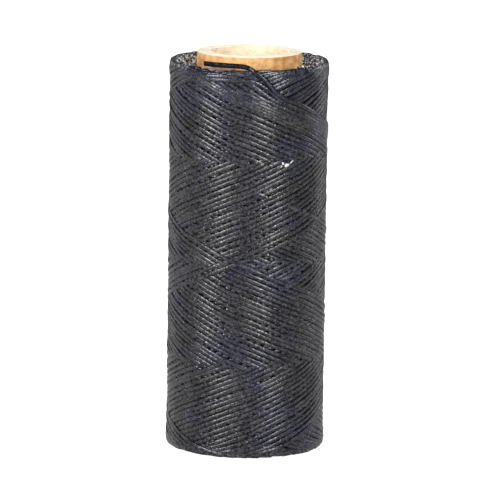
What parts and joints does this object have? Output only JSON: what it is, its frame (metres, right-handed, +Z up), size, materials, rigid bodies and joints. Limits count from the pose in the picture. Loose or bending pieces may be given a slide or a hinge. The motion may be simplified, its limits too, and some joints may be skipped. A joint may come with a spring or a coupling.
{
  "type": "waxed thread spool",
  "caption": "Parallel paper tube with flat waxed sewing thread cross wound on it in diagonal bands, and a short loose thread end over the upper shoulder.",
  "frame": {"origin": "centre of the tube's lower end, on the surface the spool stands on", "axes": "+Z up the tube's axis, -Y towards the side where the loose thread end crosses the upper shoulder"},
  "size_m": [0.051, 0.0522, 0.13],
  "materials": {
    "kraft_board": "matte kraft paper board",
    "waxed_thread": "satin waxed fibre"
  },
  "bodies": {
    "root": {"tube_liner": "kraft_board", "tube_body_ply_1": "kraft_board", "tube_body_ply_2": "kraft_board", "tube_body_ply_3": "kraft_board", "tube_body_ply_4": "kraft_board", "tube_outer_wrap": "kraft_board", "thread_cover_1": "waxed_thread", "thread_cover_2": "waxed_thread", "thread_cover_3": "waxed_thread", "thread_cover_4": "waxed_thread", "thread_cover_5": "waxed_thread", "thread_cover_6": "waxed_thread", "thread_outer_cover": "waxed_thread", "thread_tail": "waxed_thread"}
  },
  "joints": []
}
